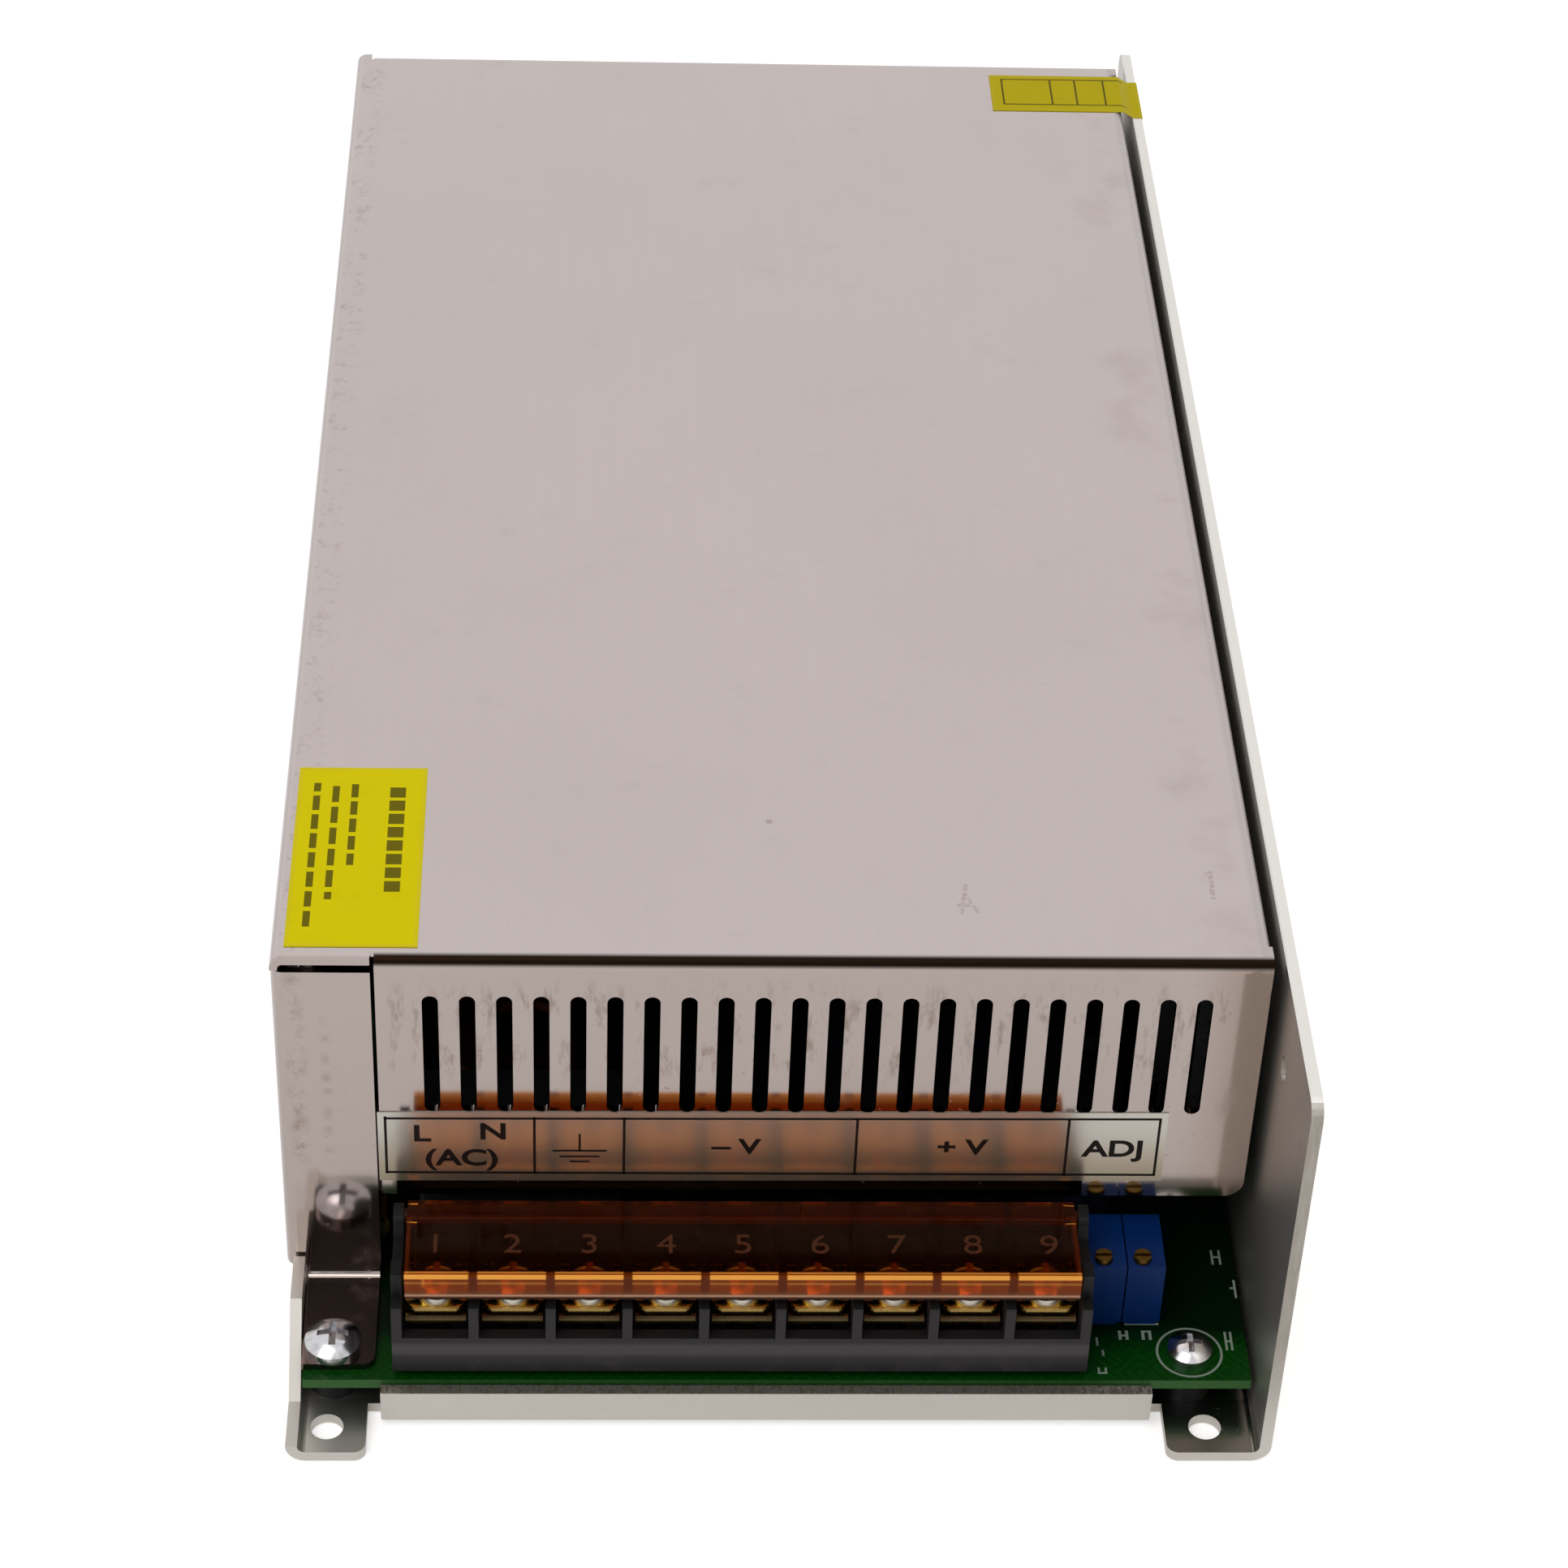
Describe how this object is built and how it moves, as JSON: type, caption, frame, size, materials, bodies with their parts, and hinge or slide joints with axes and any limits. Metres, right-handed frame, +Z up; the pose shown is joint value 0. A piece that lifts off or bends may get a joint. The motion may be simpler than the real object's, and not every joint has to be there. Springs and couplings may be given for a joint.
{
  "type": "enclosed switching power supply",
  "caption": "Long low sheet metal case with a slotted front panel set back behind a terminal block under a clear flip cover, trimmers beside it, open feet and a fan at the rear.",
  "frame": {"origin": "centre of the bounding box at the underside of the case", "axes": "+X to the right of the terminals, +Y from the terminals to the fan, +Z up"},
  "size_m": [0.1262, 0.25, 0.0631],
  "materials": {
    "chassis_sheet": "plain rolled sheet",
    "cover_sheet": "smooth, mirror-like rolled sheet",
    "film": "thin film",
    "board": "solder mask",
    "zinc_steel": "zinc plated",
    "block_plastic": "fine moulded grain",
    "yellow_brass": "plain",
    "nickel_steel": "nickel plated",
    "amber_clear": "clear amber plastic",
    "trimmer_blue": "smooth moulding",
    "trimmer_brass": "plain",
    "fuse_body": "glazed",
    "clip_brass": "plain",
    "film_yellow": "moulded box",
    "copper_wire": "enamelled wire",
    "disc_green": "dipped coating",
    "epoxy_black": "moulded epoxy",
    "sleeve_blue": "shrink sleeve",
    "ferrite": "sintered",
    "tape_yellow": "tape",
    "sink_aluminium": "extruded",
    "fan_plastic": "moulded",
    "blade_plastic": "moulded",
    "lead_sheath": "soft sheath",
    "switch_black": "moulded",
    "switch_red": "moulded",
    "label_yellow": "printed film",
    "label_seal": "thin label",
    "label_grey": "printed film"
  },
  "bodies": {
    "case": {"chassis": "chassis_sheet", "cover": "cover_sheet", "insulation_sheet": "film", "circuit_board": "board", "board_posts": "zinc_steel", "board_screws": "zinc_steel", "tab_screw": "zinc_steel", "cover_screws": "nickel_steel", "terminal_block": "block_plastic", "terminal_plates": "yellow_brass", "trimmer_bodies": "trimmer_blue", "fuse": "fuse_body", "fuse_clips": "clip_brass", "line_capacitors": "film_yellow", "line_chokes": "copper_wire", "thermistor": "disc_green", "bridge_rectifier": "epoxy_black", "bulk_capacitors": "sleeve_blue", "transformer_core": "ferrite", "transformer_winding": "tape_yellow", "driver_transformer": "tape_yellow", "output_inductor": "copper_wire", "output_capacitors": "sleeve_blue", "control_chip": "epoxy_black", "heat_sink_bar": "sink_aluminium", "power_devices": "epoxy_black", "device_screws": "zinc_steel", "heat_sink_screws": "nickel_steel", "fan_frame": "fan_plastic", "fan_screws": "nickel_steel", "fan_lead": "lead_sheath", "selector_body": "switch_black", "yellow_label": "label_yellow", "seal_strip": "label_seal", "terminal_legend": "label_grey"},
    "washer_1": {"clamp_washer_1": "yellow_brass"},
    "screw_1": {"terminal_screw_1": "nickel_steel"},
    "washer_2": {"clamp_washer_2": "yellow_brass"},
    "screw_2": {"terminal_screw_2": "nickel_steel"},
    "washer_3": {"clamp_washer_3": "yellow_brass"},
    "screw_3": {"terminal_screw_3": "nickel_steel"},
    "washer_4": {"clamp_washer_4": "yellow_brass"},
    "screw_4": {"terminal_screw_4": "nickel_steel"},
    "washer_5": {"clamp_washer_5": "yellow_brass"},
    "screw_5": {"terminal_screw_5": "nickel_steel"},
    "washer_6": {"clamp_washer_6": "yellow_brass"},
    "screw_6": {"terminal_screw_6": "nickel_steel"},
    "washer_7": {"clamp_washer_7": "yellow_brass"},
    "screw_7": {"terminal_screw_7": "nickel_steel"},
    "washer_8": {"clamp_washer_8": "yellow_brass"},
    "screw_8": {"terminal_screw_8": "nickel_steel"},
    "washer_9": {"clamp_washer_9": "yellow_brass"},
    "screw_9": {"terminal_screw_9": "nickel_steel"},
    "flap": {"flip_cover": "amber_clear"},
    "trimmer_1": {"trimmer_screw_1": "trimmer_brass"},
    "trimmer_2": {"trimmer_screw_2": "trimmer_brass"},
    "rotor": {"fan_rotor": "blade_plastic"},
    "slider": {"selector_slider": "switch_red"}
  },
  "joints": [
    {"name": "lift_1", "type": "slide", "parent": "case", "child": "washer_1", "axis": [0, 0, 1], "range_m": [-0.0006, 0.0022]},
    {"name": "turn_1", "type": "hinge", "parent": "washer_1", "child": "screw_1", "pos_m": [-0.04321, -0.111, 0.016], "axis": [0, 0, 1], "range_deg": [-309, 1132]},
    {"name": "lift_2", "type": "slide", "parent": "case", "child": "washer_2", "axis": [0, 0, 1], "range_m": [-0.0006, 0.0022]},
    {"name": "turn_2", "type": "hinge", "parent": "washer_2", "child": "screw_2", "pos_m": [-0.03356, -0.111, 0.016], "axis": [0, 0, 1], "range_deg": [-309, 1132]},
    {"name": "lift_3", "type": "slide", "parent": "case", "child": "washer_3", "axis": [0, 0, 1], "range_m": [-0.0006, 0.0022]},
    {"name": "turn_3", "type": "hinge", "parent": "washer_3", "child": "screw_3", "pos_m": [-0.02391, -0.111, 0.016], "axis": [0, 0, 1], "range_deg": [-309, 1132]},
    {"name": "lift_4", "type": "slide", "parent": "case", "child": "washer_4", "axis": [0, 0, 1], "range_m": [-0.0006, 0.0022]},
    {"name": "turn_4", "type": "hinge", "parent": "washer_4", "child": "screw_4", "pos_m": [-0.01426, -0.111, 0.016], "axis": [0, 0, 1], "range_deg": [-309, 1132]},
    {"name": "lift_5", "type": "slide", "parent": "case", "child": "washer_5", "axis": [0, 0, 1], "range_m": [-0.0006, 0.0022]},
    {"name": "turn_5", "type": "hinge", "parent": "washer_5", "child": "screw_5", "pos_m": [-0.00461, -0.111, 0.016], "axis": [0, 0, 1], "range_deg": [-309, 1132]},
    {"name": "lift_6", "type": "slide", "parent": "case", "child": "washer_6", "axis": [0, 0, 1], "range_m": [-0.0006, 0.0022]},
    {"name": "turn_6", "type": "hinge", "parent": "washer_6", "child": "screw_6", "pos_m": [0.00504, -0.111, 0.016], "axis": [0, 0, 1], "range_deg": [-309, 1132]},
    {"name": "lift_7", "type": "slide", "parent": "case", "child": "washer_7", "axis": [0, 0, 1], "range_m": [-0.0006, 0.0022]},
    {"name": "turn_7", "type": "hinge", "parent": "washer_7", "child": "screw_7", "pos_m": [0.01469, -0.111, 0.016], "axis": [0, 0, 1], "range_deg": [-309, 1132]},
    {"name": "lift_8", "type": "slide", "parent": "case", "child": "washer_8", "axis": [0, 0, 1], "range_m": [-0.0006, 0.0022]},
    {"name": "turn_8", "type": "hinge", "parent": "washer_8", "child": "screw_8", "pos_m": [0.02434, -0.111, 0.016], "axis": [0, 0, 1], "range_deg": [-309, 1132]},
    {"name": "lift_9", "type": "slide", "parent": "case", "child": "washer_9", "axis": [0, 0, 1], "range_m": [-0.0006, 0.0022]},
    {"name": "turn_9", "type": "hinge", "parent": "washer_9", "child": "screw_9", "pos_m": [0.03399, -0.111, 0.016], "axis": [0, 0, 1], "range_deg": [-309, 1132]},
    {"name": "flap_hinge", "type": "hinge", "parent": "case", "child": "flap", "pos_m": [-0.00456, -0.1048, 0.0234], "axis": [-1, 0, 0], "range_deg": [0, 100]},
    {"name": "trim_1", "type": "hinge", "parent": "case", "child": "trimmer_1", "pos_m": [0.04189, -0.10655, 0.0161], "axis": [0, 0, 1], "continuous": true},
    {"name": "trim_2", "type": "hinge", "parent": "case", "child": "trimmer_2", "pos_m": [0.04689, -0.10655, 0.0161], "axis": [0, 0, 1], "continuous": true},
    {"name": "fan_spin", "type": "hinge", "parent": "case", "child": "rotor", "pos_m": [0.00594, 0.1067, 0.03175], "axis": [0, 1, 0], "continuous": true},
    {"name": "voltage_slide", "type": "slide", "parent": "case", "child": "slider", "axis": [0, 1, 0], "range_m": [0, 0.0059]}
  ],
  "couplings": [
    {"joint": "turn_1", "follows": "lift_1", "rad_per_m": 8976},
    {"joint": "turn_2", "follows": "lift_2", "rad_per_m": 8976},
    {"joint": "turn_3", "follows": "lift_3", "rad_per_m": 8976},
    {"joint": "turn_4", "follows": "lift_4", "rad_per_m": 8976},
    {"joint": "turn_5", "follows": "lift_5", "rad_per_m": 8976},
    {"joint": "turn_6", "follows": "lift_6", "rad_per_m": 8976},
    {"joint": "turn_7", "follows": "lift_7", "rad_per_m": 8976},
    {"joint": "turn_8", "follows": "lift_8", "rad_per_m": 8976},
    {"joint": "turn_9", "follows": "lift_9", "rad_per_m": 8976}
  ]
}
